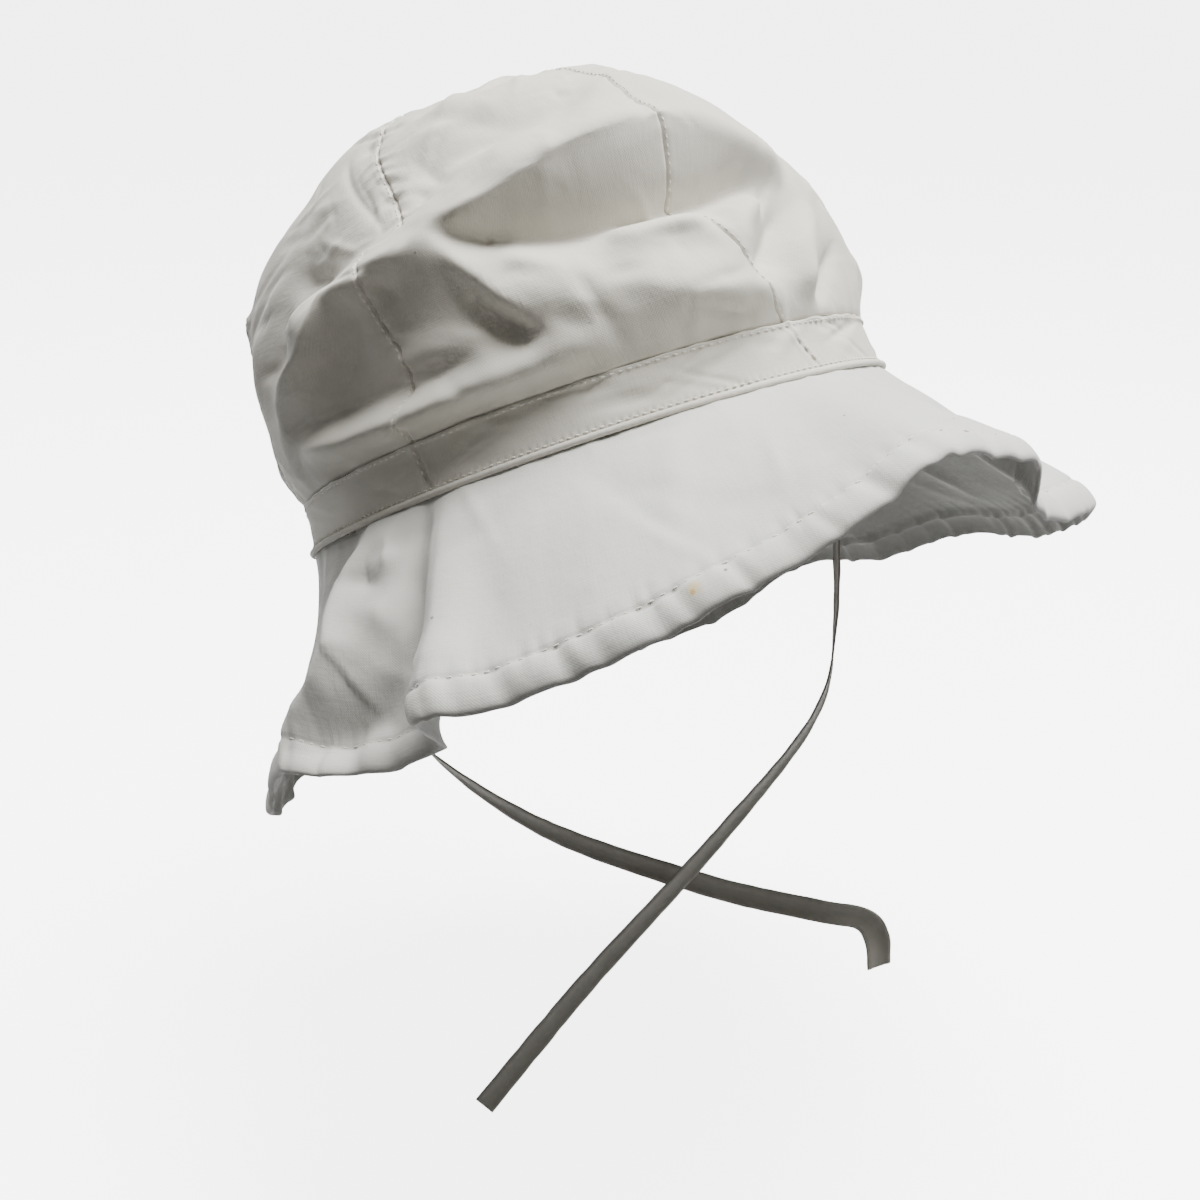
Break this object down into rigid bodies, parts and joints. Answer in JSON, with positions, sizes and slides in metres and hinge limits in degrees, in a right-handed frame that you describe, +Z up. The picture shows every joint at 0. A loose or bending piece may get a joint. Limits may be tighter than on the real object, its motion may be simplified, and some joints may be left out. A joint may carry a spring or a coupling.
{
  "type": "summer hat",
  "caption": "Soft woven cotton sun hat with a panelled crown, a stitched band, a wavy hemmed brim and flat tape ties that hang from inside the band.",
  "frame": {"origin": "middle of the head opening, in the plane of the seam between band and brim", "axes": "+Z up, the front of the hat towards -Y, the wearer's left towards +X; the hat keeps the backward lean of 28 degrees that it is worn with"},
  "size_m": [0.2546, 0.2752, 0.3211],
  "materials": {
    "cotton": "off-white plain-woven cotton, matt",
    "tape": "off-white cotton tape, matt"
  },
  "bodies": {
    "root": {"crown_panel_1": "cotton", "crown_panel_2": "cotton", "crown_panel_3": "cotton", "crown_panel_4": "cotton", "crown_panel_5": "cotton", "crown_panel_6": "cotton", "hat_band": "cotton", "brim": "cotton", "tie_left": "tape", "tie_right": "tape"}
  },
  "joints": []
}
